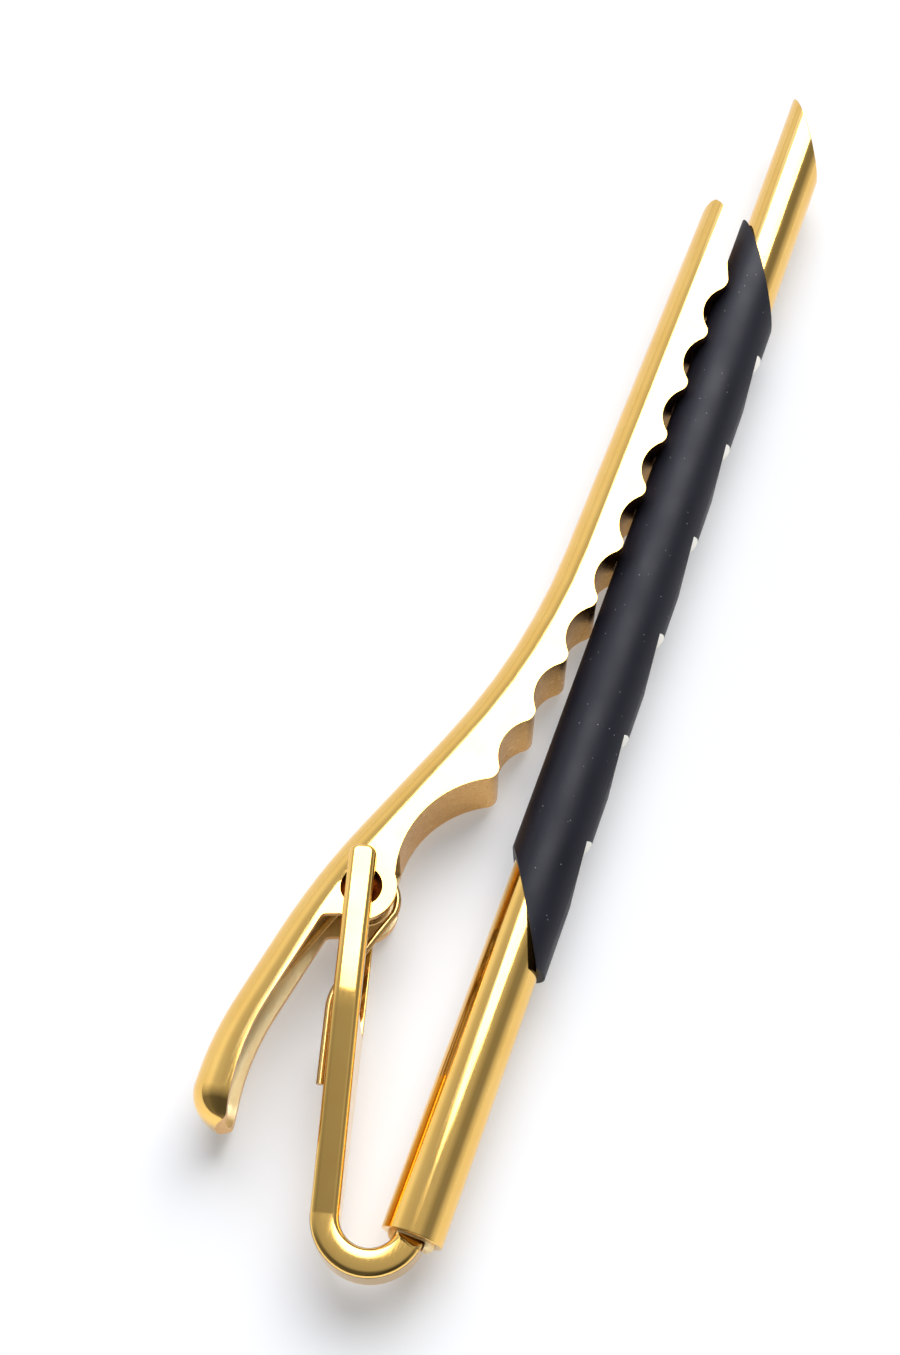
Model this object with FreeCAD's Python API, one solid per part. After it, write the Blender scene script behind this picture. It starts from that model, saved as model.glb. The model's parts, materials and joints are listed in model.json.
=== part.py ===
"""Tie clip: a bevelled front bar in a black sleeve, a hairpin arm, and a sprung toothed jaw.

Lengths are in millimetres. While the pieces are made, X runs along the bar from its square end,
Y points from the bar to the jaw, Z is the width, and the bar's axis is y = z = 0. At the end
everything is moved so that the origin is the middle of the foot of the whole part's box.
"""
import FreeCAD, Part
import math
import os

V = FreeCAD.Vector
X_AXIS = V(1, 0, 0)
Y_AXIS = V(0, 1, 0)
Z_AXIS = V(0, 0, 1)

# Front bar
bar_diameter = 2.44
bar_length = 55.26
bevel_angle = 28.5
socket_diameter = 1.85
socket_depth = 4.6

# Black sleeve over the bar, with flats cut into its front
sleeve_wall = 0.275
sleeve_fit = 0.01
sleeve_start = 13.3
sleeve_length = 33.5
sleeve_blunt = 0.7
flat_count = 6
flat_pitch = 5.0
flat_first = 3.75
flat_length = 2.6
flat_depth = 0.19
flat_step_lean = 0.2

# Hairpin arm: a tongue in the bar, a bend, and a leg that ends in a fork
strip_thickness = 1.1
strip_width = 1.9
bend_radius = 1.69
bend_place = 0.1
leg_offset = 0.06
tongue_width = 1.35
tongue_length = 4.2
solder_gap = 0.03
fork_reach = 4.3
slot_reach = 5.2
prong_thickness = 0.5
prong_tip_reach = 1.45
prong_tip_round = 0.3

# Hinge
pivot_place = 11.92
pivot_height = 6.47
pin_diameter = 0.9
pin_seat = 0.3
pin_clearance = 0.03
fork_clearance = 0.06

# Jaw lever: solid and toothed in front of the hinge, with two ears and a hollow thumb tail behind them
sheet = 0.34
hollow_reach = 1.9
jaw_reach = 37.8
tail_reach = 10.65
nose_half_width = 1.45
tail_half_width = 1.7
back_round = 1.0
nose_height = 3.42
nose_depth = 0.95
nose_slope = 0.5
nose_corner = 0.4
knee_reach = 12.4
knee_height = 3.87
knee_round = 30.0
shoulder_reach = 0.14
shoulder_rise = 2.12
shoulder_round = 30.0
bow_inset = 3.36
bow_rise = 3.5
bow_round = 13.0
tail_rise = 3.3
tail_round = 1.2
tail_corner = 0.4
tail_lip_rise = 1.6
tail_waist_inset = 3.18
tail_waist_rise = 2.2
tail_waist_round = 11.0
notch_back = 1.6
notch_rise = 1.04
notch_round = 0.3
ear_radius = 1.4
dish_diameter = 1.7
dish_depth = 0.24
ear_top_angle = 165.0
ear_arch_angle = -50.0
arch_crown_reach = 3.0
arch_crown_drop = 0.97

# Teeth along the jaw's gripping edge
tooth_count = 10
nose_margin = 4.85
last_tooth_reach = 6.38
tooth_land = 0.45
tooth_round = 0.4
scallop_depth = 0.58
bite_gap = 0.045
edge_slope_angle = 1.1
edge_bow_start = 12.0
edge_bow_radius = 75.0

# Torsion spring
wire = 0.3
coil_radius = 1.47
coil_drop = 0.15
coil_turn_gap = 0.46
full_turns = 2
leg_seat_gap = 0.02
arm_leg_rest = 3.6
leg_bend = 0.6
leg_slot_gap = 0.3
jaw_leg_inset = 6.25
jaw_leg_gap = 0.15

# Cutters run past the faces that they open by this much, and points closer than the touch are one
overrun = 5.0
touch = 0.001

bar_radius = bar_diameter / 2
sleeve_inner = bar_radius + sleeve_fit
sleeve_radius = sleeve_inner + sleeve_wall
bevel_slope = 1 / math.tan(math.radians(bevel_angle))
pivot = V(pivot_place, pivot_height, 0)
coil_centre = pivot - Y_AXIS * coil_drop
nose_end = pivot_place + jaw_reach
tail_end = pivot_place - tail_reach
half_strip = strip_thickness / 2
first_tooth_reach = jaw_reach - nose_margin
tooth_pitch = (first_tooth_reach - last_tooth_reach) / (tooth_count - 1)
tooth_reaches = [first_tooth_reach - index * tooth_pitch for index in range(tooth_count)]
bow_back = tail_reach - bow_inset
lever_top = pivot_height + bow_rise + overrun
jaw_leg_reach = tail_reach - jaw_leg_inset
arm_leg_reach = slot_reach - leg_bend - leg_slot_gap
coil_pitch = wire + coil_turn_gap


def polar(centre, radius, degrees):
    """Return the point at an angle on a circle that lies flat in XY."""
    angle = math.radians(degrees)
    return centre + V(radius * math.cos(angle), radius * math.sin(angle), 0)


def line(start, end):
    """Return a straight edge."""
    return Part.LineSegment(start, end).toShape()


def arc(start, middle, end):
    """Return a circular edge through three points."""
    return Part.Arc(start, middle, end).toShape()


def rounded_path(corners):
    """Return edges along corners given as (point, radius), with each inner corner rounded."""
    edges = []
    last = corners[0][0]
    for index in range(1, len(corners) - 1):
        corner, radius = corners[index]
        if not radius:
            edges.append(line(last, corner))
            last = corner
            continue
        inward = (corners[index - 1][0] - corner).normalize()
        outward = (corners[index + 1][0] - corner).normalize()
        half_angle = inward.getAngle(outward) / 2
        trim = radius / math.tan(half_angle)
        bisector = (inward + outward).normalize()
        middle = corner + bisector * (radius / math.sin(half_angle) - radius)
        edges.append(line(last, corner + inward * trim))
        last = corner + outward * trim
        edges.append(arc(corner + inward * trim, middle, last))
    edges.append(line(last, corners[-1][0]))
    return edges


def slab(edges, low, high):
    """Return the solid that a closed flat outline makes between two heights in Z."""
    face = Part.Face(Part.Wire(edges))
    face.translate(Z_AXIS * low)
    return face.extrude(Z_AXIS * (high - low))


def polygon(points):
    """Return the straight edges round a list of corners."""
    return [line(a, b) for a, b in zip(points, points[1:] + points[:1])]


def bar_cylinder(radius, start, end):
    """Return a round bar on the bar's axis."""
    return Part.makeCylinder(radius, end - start, V(start, 0, 0), X_AXIS)


def beyond_bevel(place):
    """Return the space past a bevel that crosses the bar's axis at a place."""
    reach = sleeve_radius + overrun
    lean = reach * bevel_slope
    far = place + lean + bar_length
    corners = [V(place - lean, -reach, 0), V(far, -reach, 0), V(far, reach, 0), V(place + lean, reach, 0)]
    return slab(polygon(corners), -reach, reach)


def lever_half_width(place):
    """Return half the jaw lever's width at a place along X."""
    share = (place - tail_end) / (nose_end - tail_end)
    return tail_half_width + share * (nose_half_width - tail_half_width)


lever_at_pivot = lever_half_width(pivot_place)
fork_inside = lever_at_pivot + fork_clearance
fork_outside = fork_inside + prong_thickness


def front_bar():
    """A round bar with a long bevel at its tip and a blind socket in its square end."""
    longest = bar_length + bar_radius * bevel_slope + overrun
    body = bar_cylinder(bar_radius, 0, longest).cut(beyond_bevel(bar_length))
    return body.cut(bar_cylinder(socket_diameter / 2, -overrun, socket_depth))


def black_sleeve():
    """A thin tube with two parallel bevels, one blunt tip, and a row of slanting flats on its front."""
    reach = sleeve_radius * bevel_slope + overrun
    end = sleeve_start + sleeve_length
    tube = bar_cylinder(sleeve_radius, sleeve_start - reach, end + reach)
    tube = tube.cut(bar_cylinder(sleeve_inner, sleeve_start - reach - overrun, end + reach + overrun))
    tube = tube.common(beyond_bevel(sleeve_start)).cut(beyond_bevel(end))
    tip = sleeve_start - sleeve_radius * bevel_slope
    tube = tube.cut(bar_cylinder(2 * sleeve_radius, tip - overrun, tip + sleeve_blunt))
    outside = -sleeve_radius - overrun
    for index in range(flat_count):
        step = sleeve_start + flat_first + index * flat_pitch
        heel = step - flat_length
        corners = [
            V(step + flat_step_lean, outside, 0),
            V(step + flat_step_lean, -sleeve_radius, 0),
            V(step, flat_depth - sleeve_radius, 0),
            V(heel, -sleeve_radius, 0),
            V(heel, outside, 0),
        ]
        tube = tube.cut(slab(polygon(corners), -sleeve_radius, sleeve_radius))
    return tube


bend_centre = V(bend_place, bend_radius, 0)
pivot_from_bend = pivot - bend_centre
leg_angle = math.degrees(
    math.atan2(pivot_from_bend.y, pivot_from_bend.x)
    + math.acos((bend_radius - leg_offset) / pivot_from_bend.Length)
) - 90
leg_start = polar(bend_centre, bend_radius, leg_angle + 90)
leg_along = polar(V(), 1, leg_angle)
leg_outward = polar(V(), 1, leg_angle + 90)
leg_length = (pivot - leg_start).dot(leg_along)


def on_leg(along, outward, height=0.0):
    """Return a point given along the arm's leg and outward from the middle of its strip."""
    return leg_start + leg_along * along + leg_outward * outward + Z_AXIS * height


def bend_ring(half_width):
    """Return the hairpin bend, from the leg round to the bar's axis."""
    turn_end = 270
    middle = (leg_angle + 90 + turn_end) / 2
    outer = bend_radius + half_strip
    inner = bend_radius - half_strip
    edges = [
        arc(*[polar(bend_centre, outer, a) for a in (leg_angle + 90, middle, turn_end)]),
        line(polar(bend_centre, outer, turn_end), polar(bend_centre, inner, turn_end)),
        arc(*[polar(bend_centre, inner, a) for a in (turn_end, middle, leg_angle + 90)]),
        line(polar(bend_centre, inner, leg_angle + 90), polar(bend_centre, outer, leg_angle + 90)),
    ]
    return slab(edges, -half_width, half_width)


def arm_leg():
    """The strip's straight leg: it widens to the fork, whose two prongs have rounded tips."""
    slot_end = leg_length - slot_reach
    tip = leg_length + prong_tip_reach
    side = rounded_path([
        (on_leg(0, half_strip), 0),
        (on_leg(0, -half_strip), 0),
        (on_leg(tip, -half_strip), prong_tip_round),
        (on_leg(tip, half_strip), prong_tip_round),
        (on_leg(0, half_strip), 0),
    ])
    body = slab(side, -fork_outside, fork_outside)
    half = strip_width / 2
    plan = [
        on_leg(-overrun, -overrun, half),
        on_leg(0, -overrun, half),
        on_leg(leg_length - fork_reach, -overrun, fork_outside),
        on_leg(tip + overrun, -overrun, fork_outside),
    ]
    plan += [V(p.x, p.y, -p.z) for p in reversed(plan)]
    face = Part.Face(Part.Wire(polygon(plan)))
    body = body.common(face.extrude(leg_outward * (2 * overrun)))
    slot = polygon([
        on_leg(slot_end, -overrun),
        on_leg(tip + overrun, -overrun),
        on_leg(tip + overrun, overrun),
        on_leg(slot_end, overrun),
    ])
    return body.cut(slab(slot, -fork_inside, fork_inside))


def hairpin_arm():
    """Tongue, bend and forked leg in one strip, with blind seats for the hinge pin."""
    wide_bend = bend_ring(strip_width / 2)
    inside_bar = Part.makeBox(
        bend_radius + overrun,
        bend_radius + overrun,
        strip_width + 2 * overrun,
        V(-solder_gap, -overrun, -strip_width / 2 - overrun),
    )
    tongue = Part.makeBox(
        tongue_length - bend_place,
        strip_thickness,
        tongue_width,
        V(bend_place, -half_strip, -tongue_width / 2),
    )
    arm = wide_bend.cut(inside_bar).fuse([bend_ring(tongue_width / 2), tongue, arm_leg()])
    return arm.cut(pin_solid(pin_diameter / 2)).removeSplitter()


def pin_solid(radius):
    """Return the round pin's space between its two seats."""
    half = fork_inside + pin_seat
    return Part.makeCylinder(radius, 2 * half, pivot - Z_AXIS * half, Z_AXIS)


def solder_fill(arm):
    """The solder round the tongue, which fills the bar's socket to the tongue's end."""
    plug = bar_cylinder(socket_diameter / 2, 0, tongue_length)
    return plug.cut(arm)


def from_pivot(along, across):
    """Return a point given from the pivot along X and Y."""
    return pivot + V(along, across, 0)


def tooth_edge(reach):
    """Return the height of the line of tooth tips, at a distance from the pivot towards the nose."""
    travel = first_tooth_reach - reach
    flange_inside = lever_half_width(pivot_place + first_tooth_reach) - sheet
    contact = math.sqrt(sleeve_radius ** 2 - flange_inside ** 2) + bite_gap
    bow = max(0, travel - edge_bow_start) ** 2 / (2 * edge_bow_radius)
    return contact + travel * math.tan(math.radians(edge_slope_angle)) + bow


def tooth_point(reach):
    """Return a point on the line of tooth tips."""
    return V(pivot_place + reach, tooth_edge(reach), 0)


def side_outline():
    """Return the outline that trims the lever's side: nose, lip, waist, notch, ear, arch and teeth."""
    half_land = tooth_land / 2
    nose_foot = V(nose_end - nose_slope, nose_height - nose_depth, 0)
    nose_front = V(nose_end, nose_height - nose_corner, 0)
    lip = from_pivot(tail_corner - tail_reach, tail_lip_rise)
    ear_top = polar(pivot, ear_radius, ear_top_angle)
    nose_run = lever_top - nose_front.y
    lip_run = lever_top - lip.y
    edges = rounded_path([
        (tooth_point(tooth_reaches[0] + half_land), 0),
        (nose_foot, 0),
        (nose_front, 0),
        (nose_front + V(-nose_run, nose_run, 0), 0),
        (lip + V(-lip_run, lip_run, 0), 0),
        (lip, 0),
        (from_pivot(tail_waist_inset - tail_reach, tail_waist_rise), tail_waist_round),
        (from_pivot(-notch_back, notch_rise), notch_round),
        (ear_top, 0),
    ])
    ear_arch = polar(pivot, ear_radius, ear_arch_angle)
    ear_middle = (ear_top_angle + ear_arch_angle + 360) / 2
    edges.append(arc(ear_top, polar(pivot, ear_radius, ear_middle), ear_arch))
    crown = from_pivot(arch_crown_reach, -arch_crown_drop)
    edges.append(arc(ear_arch, crown, tooth_point(tooth_reaches[-1] - half_land)))
    for index in range(tooth_count - 1, -1, -1):
        start = tooth_point(tooth_reaches[index] - half_land)
        end = tooth_point(tooth_reaches[index] + half_land)
        edges.append(line(start, end))
        if index:
            following = tooth_point(tooth_reaches[index - 1] - half_land)
            edges.append(arc(end, (end + following) / 2 + Y_AXIS * scallop_depth, following))
    return edges


def side_shape():
    """Return the block that trims the lever to its side outline, with its tooth tips rounded."""
    block = slab(side_outline(), -2 * tail_half_width, 2 * tail_half_width)
    half_land = tooth_land / 2
    corners = [tooth_point(reach - half_land) for reach in tooth_reaches]
    corners += [tooth_point(reach + half_land) for reach in tooth_reaches[1:]]
    tips = []
    for edge in block.Edges:
        if any(edge.CenterOfMass.isEqual(corner, touch) for corner in corners):
            tips.append(edge)
    return block.makeFillet(tooth_round, tips)


def lever_plan(wall):
    """Return the space between the lever's two tapering sides, moved in by a wall."""
    start = tail_end - overrun
    end = nose_end + overrun
    low = -sleeve_radius - overrun
    corners = [V(start, low, lever_half_width(start) - wall), V(end, low, lever_half_width(end) - wall)]
    corners += [V(p.x, p.y, -p.z) for p in reversed(corners)]
    return Part.Face(Part.Wire(polygon(corners))).extrude(Y_AXIS * (lever_top - low))


def folded_block(wall, nose_stop, foot):
    """Return the block under the lever's back, moved in by a wall, with rounded folds to its sides."""
    nose_top = nose_end - nose_corner
    knee = pivot_place + knee_reach
    slope = (knee_height - nose_height) / (knee - nose_top)
    corners = [
        (V(nose_stop, foot, 0), 0),
        (V(nose_stop, nose_height + (nose_stop - nose_top) * slope - wall, 0), 0),
        (V(knee, knee_height - wall, 0), knee_round),
        (from_pivot(shoulder_reach, shoulder_rise - wall), shoulder_round),
        (from_pivot(-bow_back, bow_rise - wall), bow_round),
        (from_pivot(wall - tail_reach, tail_rise - wall), tail_round - wall),
        (V(tail_end + wall, foot, 0), 0),
    ]
    edges = rounded_path(corners)
    edges.append(line(corners[-1][0], corners[0][0]))
    block = slab(edges, -2 * tail_half_width, 2 * tail_half_width).common(lever_plan(wall))
    folds = []
    for edge in block.Edges:
        middle = edge.valueAt((edge.FirstParameter + edge.LastParameter) / 2)
        inside = middle.y > foot + sheet and middle.x < nose_stop - sheet
        if inside and abs(middle.z) > nose_half_width / 2:
            folds.append(edge)
    return block.makeFillet(back_round - wall, folds)


def jaw_lever():
    """The lever: a rounded back, teeth astride the sleeve, ears, a hollow tail and countersunk pin holes."""
    body = folded_block(0, nose_end + nose_depth, 0).common(side_shape())
    hollow = folded_block(sheet, nose_end - nose_corner - sheet, -overrun)
    front_foot = V(pivot_place + hollow_reach, -overrun, -2 * tail_half_width)
    solid_front = Part.makeBox(jaw_reach, lever_top + overrun, 4 * tail_half_width, front_foot)
    body = body.cut(hollow.cut(solid_front))
    body = body.cut(bar_cylinder(sleeve_radius + bite_gap, 0, nose_end + overrun))
    height = 2 * (tail_half_width + overrun)
    bore_radius = pin_diameter / 2 + pin_clearance
    bore = Part.makeCylinder(bore_radius, height, pivot - Z_AXIS * (height / 2), Z_AXIS)
    body = body.cut(bore)
    floor = lever_at_pivot - dish_depth
    flare = (dish_diameter / 2 - bore_radius) / dish_depth
    mouth = dish_depth + fork_clearance
    dish = Part.makeCone(bore_radius, bore_radius + flare * mouth, mouth, pivot + Z_AXIS * floor, Z_AXIS)
    return body.cut([dish, dish.mirror(V(), Z_AXIS)])


def biarc(start, start_way, end, end_way):
    """Return two arcs that join two points and are tangent to a direction at each."""
    gap = end - start
    ways = start_way + end_way
    spread = 2 * (1 - start_way.dot(end_way))
    reach = (-gap.dot(ways) + math.sqrt(gap.dot(ways) ** 2 + spread * gap.dot(gap))) / spread
    first = start + start_way * reach
    second = end - end_way * reach
    joint = (first + second) / 2
    return [tangent_arc(start, first, joint), tangent_arc(joint, second, end)]


def tangent_arc(start, corner, end):
    """Return the arc from start to end that is tangent to both sides of a corner."""
    half_chord = (end - start).Length / 2
    half_turn = (corner - start).getAngle(end - corner) / 2
    middle = (start + end) / 2
    rise = half_chord * math.tan(half_turn / 2)
    return arc(start, middle + (corner - middle).normalize() * rise, end)


def helix_point(degrees, height):
    """Return a point of the coil and the direction of the wire there."""
    way = V(-math.sin(math.radians(degrees)), math.cos(math.radians(degrees)), 0)
    fall = coil_pitch / (2 * math.pi * coil_radius)
    return polar(coil_centre, coil_radius, degrees) + Z_AXIS * height, (way - Z_AXIS * fall).normalize()


def spring_ends():
    """Return the bend of the leg on the arm, the tip of the leg in the tail, and both coil angles."""
    seat = half_strip + wire / 2 + leg_seat_gap
    bend = on_leg(leg_length - arm_leg_reach, seat)
    to_coil = coil_centre - bend
    tangent = math.asin(coil_radius / to_coil.Length)
    first = math.degrees(math.atan2(to_coil.y, to_coil.x) - tangent) - 90
    back_share = (jaw_leg_reach + shoulder_reach) / (bow_back + shoulder_reach)
    back = shoulder_rise + back_share * (bow_rise - shoulder_rise)
    tip = from_pivot(-jaw_leg_reach, back - sheet - wire / 2 - jaw_leg_gap)
    from_coil = tip - coil_centre
    tangent = math.acos(coil_radius / from_coil.Length)
    last = math.degrees(math.atan2(from_coil.y, from_coil.x) - tangent)
    return bend, tip, first, last + 360 * full_turns


def spring_path():
    """Return the middle line of the wire: leg, bend, coil from the top down, and the other leg."""
    bend, tip, first, last = spring_ends()
    turns = (last - first) / 360
    top = Z_AXIS * (turns * coil_pitch / 2)
    entry = polar(coil_centre, coil_radius, first) + top
    way = polar(V(), 1, first + 90)
    turn_in = bend + top - leg_along * leg_bend
    turn_out = bend + top + way * leg_bend
    edges = [
        line(bend + top - leg_along * arm_leg_rest, turn_in),
        tangent_arc(turn_in, bend + top, turn_out),
        line(turn_out, entry),
    ]
    steps = round(turns * 4)
    position, heading = entry, way
    for index in range(1, steps + 1):
        share = index / steps
        following, turned = helix_point(first + share * (last - first), top.z - share * turns * coil_pitch)
        if index == steps:
            turned = V(turned.x, turned.y, 0).normalize()
        edges += biarc(position, heading, following, turned)
        position, heading = following, turned
    edges.append(line(position, tip - top))
    return Part.Wire(edges)


def least_gap(path):
    """Return the least gap between turns of the wire, measured on points along its middle line."""
    points = path.discretize(Distance=wire)
    apart = math.ceil(coil_radius * math.pi / wire)
    gaps = [
        (points[i] - points[j]).Length
        for i in range(len(points))
        for j in range(i + apart, len(points))
    ]
    return min(gaps) - wire


def torsion_spring():
    """One wire: a leg on the arm's outer face, the coil round the pin, and a leg under the tail."""
    path = spring_path()
    begin = path.Edges[0].firstVertex().Point
    section = Part.Wire(Part.makeCircle(wire / 2, begin, leg_along))
    print("spring gap", round(least_gap(path), 3))
    return path.makePipeShell([section], True, False)


def build():
    """Make every piece, move the part to its origin and write the pieces out."""
    os.makedirs("parts", exist_ok=True)
    arm = hairpin_arm()
    pieces = {
        "front_bar": front_bar(),
        "black_sleeve": black_sleeve(),
        "hairpin_arm": arm,
        "solder_fill": solder_fill(arm),
        "hinge_pin": pin_solid(pin_diameter / 2),
        "torsion_spring": torsion_spring(),
        "jaw_lever": jaw_lever(),
    }
    box = Part.makeCompound(list(pieces.values())).optimalBoundingBox(False, False)
    origin = V((box.XMin + box.XMax) / 2, (box.YMin + box.YMax) / 2, box.ZMin)
    print("origin", origin, "pivot", pivot - origin, "box", box)
    for name, shape in pieces.items():
        print(name, len(shape.Solids), shape.isValid(), round(shape.Volume, 4))
        solid = shape.Solids[0]
        solid.translate(-origin)
        solid.exportStep("parts/" + name + ".step")


build()
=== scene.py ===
"""Looks of the tie clip: polished gold plate, a satin black sleeve with bright cuts, and a plain studio.

Sizes are in millimetres in the maker's frame: X runs along the bar from its square end, Y points from
the bar to the jaw, Z is the width, and the bar's axis is y = z = 0. TO_FRAME takes a finished mesh from
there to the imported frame, in metres.
"""
import json
import logging
import math
from dataclasses import dataclass, field
from enum import Enum
from typing import Any, Callable, Optional

import bmesh
import bpy
from bmesh.types import BMEdge, BMesh, BMVert
from bpy.types import Material, Node, NodeSocket, NodeTree, Object
from mathutils import Matrix, Vector


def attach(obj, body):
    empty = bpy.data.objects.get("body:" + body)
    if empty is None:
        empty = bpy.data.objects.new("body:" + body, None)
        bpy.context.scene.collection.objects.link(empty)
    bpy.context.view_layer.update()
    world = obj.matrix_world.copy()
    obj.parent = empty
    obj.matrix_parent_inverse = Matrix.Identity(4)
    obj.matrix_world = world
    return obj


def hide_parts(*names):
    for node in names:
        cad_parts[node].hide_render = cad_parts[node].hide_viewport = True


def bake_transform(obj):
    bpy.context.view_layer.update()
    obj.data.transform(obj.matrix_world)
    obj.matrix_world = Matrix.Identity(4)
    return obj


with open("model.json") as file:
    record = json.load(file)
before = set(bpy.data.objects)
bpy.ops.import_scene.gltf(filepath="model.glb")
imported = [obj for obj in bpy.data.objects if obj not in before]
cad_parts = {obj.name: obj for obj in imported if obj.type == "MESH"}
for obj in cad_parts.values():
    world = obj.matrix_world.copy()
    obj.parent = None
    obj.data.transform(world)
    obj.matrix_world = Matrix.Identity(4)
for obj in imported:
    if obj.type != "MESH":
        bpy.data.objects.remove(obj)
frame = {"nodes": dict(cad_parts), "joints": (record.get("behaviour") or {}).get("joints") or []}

LOG = logging.getLogger("tie_clip")
MM = 0.001
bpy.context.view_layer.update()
# The hinge's middle in the maker's frame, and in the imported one.
PIVOT = Vector((11.92, 6.47, 0.0))
HINGE = Vector(frame["joints"][0]["pos_m"])
TO_FRAME = Matrix.Translation(HINGE) @ Matrix.Scale(MM, 4) @ Matrix.Translation(-PIVOT)
X_AXIS = Vector((1.0, 0.0, 0.0))
Y_AXIS = Vector((0.0, 1.0, 0.0))
Z_AXIS = Vector((0.0, 0.0, 1.0))
# An arc turns by this much at most from point to point, and has at least this many steps.
ARC_STEP = math.radians(4.0)
LEAST_ARC_STEPS = 6
# Edges that turn by more degrees than this count as corners.
CORNER_TURN = 50.0
# A face whose normal runs this much along an axis faces that way.
FACING = 0.9
# Flats that stand for the round of a bore or a dish.
BORE_FACETS = 64
# Most of a noise pattern lies between these levels.
NOISE_RANGE = (0.3, 0.7)
# Points nearer than this are the same point.
FINE = 1e-4
# How far a cutter runs past what it cuts.
OVERRUN = 5.0


class Body(Enum):
    """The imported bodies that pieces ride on."""

    FRAME = "frame"
    JAW = "jaw"


class Combine(Enum):
    """How one closed mesh is combined with another."""

    CUT = "DIFFERENCE"
    KEEP_COMMON = "INTERSECT"


class SleeveFace(Enum):
    """The places of the sleeve's materials in its list."""

    BLACK = 0
    BRIGHT = 1


class LeverFace(Enum):
    """The places of the lever's materials in its list."""

    PLATE = 0
    PRESSED = 1
    BORE = 2
    EDGE = 3


class LampShape(Enum):
    """The outlines of studio lamps, as Blender calls them."""

    BOX = "RECTANGLE"
    OVAL = "ELLIPSE"


class Slot(Enum):
    """The record's material slots."""

    GOLD = "gold_plate"
    BLACK = "black_anodised"
    WIRE = "spring_wire"
    SOLDER = "solder"


def polar(centre: Vector, radius: float, degrees: float) -> Vector:
    """Return the point at an angle on a circle that lies flat in XY."""
    angle = math.radians(degrees)
    return centre + Vector((radius * math.cos(angle), radius * math.sin(angle), 0.0))


def arc_through(start: Vector, middle: Vector, end: Vector) -> list[Vector]:
    """Return points along the arc through three points in XY.

    Args:
        start: Where the arc begins.
        middle: A point on the arc between its ends.
        end: Where the arc ends.

    Returns:
        The points past the start, up to and with the end.
    """
    first, second = middle - start, end - start
    doubled = 2.0 * (first.x * second.y - first.y * second.x)
    centre = start + Vector((
        (second.y * first.length_squared - first.y * second.length_squared) / doubled,
        (first.x * second.length_squared - second.x * first.length_squared) / doubled,
        0.0,
    ))
    begin = math.atan2(start.y - centre.y, start.x - centre.x)
    finish = math.atan2(end.y - centre.y, end.x - centre.x)
    turn = (finish - begin) % math.tau if doubled > 0.0 else -((begin - finish) % math.tau)
    steps = max(LEAST_ARC_STEPS, math.ceil(abs(turn) / ARC_STEP))
    radius = (start - centre).length
    angles = [math.degrees(begin + turn * index / steps) for index in range(1, steps + 1)]
    return [polar(centre, radius, angle) for angle in angles]


def rounded_run(corners: list[tuple[Vector, float]]) -> list[Vector]:
    """Return points along straight runs whose inner corners are rounded.

    Args:
        corners: Each corner with its radius, where 0 leaves it sharp.

    Returns:
        The points from the first corner to the last.
    """
    points = [corners[0][0]]
    for (before, _), (corner, radius), (after, _) in zip(corners, corners[1:], corners[2:]):
        if not radius:
            points.append(corner)
            continue
        inward = (before - corner).normalized()
        outward = (after - corner).normalized()
        half = inward.angle(outward) / 2.0
        trim = radius / math.tan(half)
        middle = corner + (inward + outward).normalized() * (radius / math.sin(half) - radius)
        points.append(corner + inward * trim)
        points += arc_through(points[-1], middle, corner + outward * trim)
    points.append(corners[-1][0])
    return points


def mesh_object(name: str, bm: BMesh, materials: list[Material]) -> Object:
    """Put a mesh into the scene.

    Args:
        name: The object's name.
        bm: The mesh. It is freed.
        materials: The materials that its faces refer to.

    Returns:
        The object, at the origin.
    """
    mesh = bpy.data.meshes.new(name)
    bm.to_mesh(mesh)
    bm.free()
    for material in materials:
        mesh.materials.append(material)
    obj = bpy.data.objects.new(name, mesh)
    bpy.context.scene.collection.objects.link(obj)
    return obj


def applied(obj: Object) -> BMesh:
    """Take the finished mesh from a scratch object.

    Args:
        obj: The scratch object. It is removed.

    Returns:
        The mesh that its modifiers give.
    """
    graph = bpy.context.evaluated_depsgraph_get()
    mesh = bpy.data.meshes.new_from_object(obj.evaluated_get(graph))
    bm = bmesh.new()
    bm.from_mesh(mesh)
    bpy.data.meshes.remove(mesh)
    discard(obj)
    return bm


def discard(obj: Object) -> None:
    """Remove a scratch object and its data.

    Args:
        obj: The object, which holds a mesh or a curve.
    """
    data = obj.data
    bpy.data.objects.remove(obj)
    if isinstance(data, bpy.types.Mesh):
        bpy.data.meshes.remove(data)
    else:
        bpy.data.curves.remove(data)


def combined(
    bm: BMesh,
    other: BMesh,
    how: Combine = Combine.CUT,
    materials: Optional[list[Material]] = None,
) -> BMesh:
    """Combine one closed mesh with another.

    Args:
        bm: The mesh that is worked on. It is freed.
        other: The mesh that cuts or bounds it. It is freed.
        how: Whether the other mesh is cut away or what both share is kept.
        materials: Slots that both meshes' faces refer to.

    Returns:
        The combined mesh.
    """
    target = mesh_object("work", bm, materials or [])
    tool = mesh_object("tool", other, materials or [])
    boolean = target.modifiers.new("combine", "BOOLEAN")
    boolean.operation = how.value
    boolean.solver = "EXACT"
    boolean.object = tool
    result = applied(target)
    discard(tool)
    return result


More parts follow.
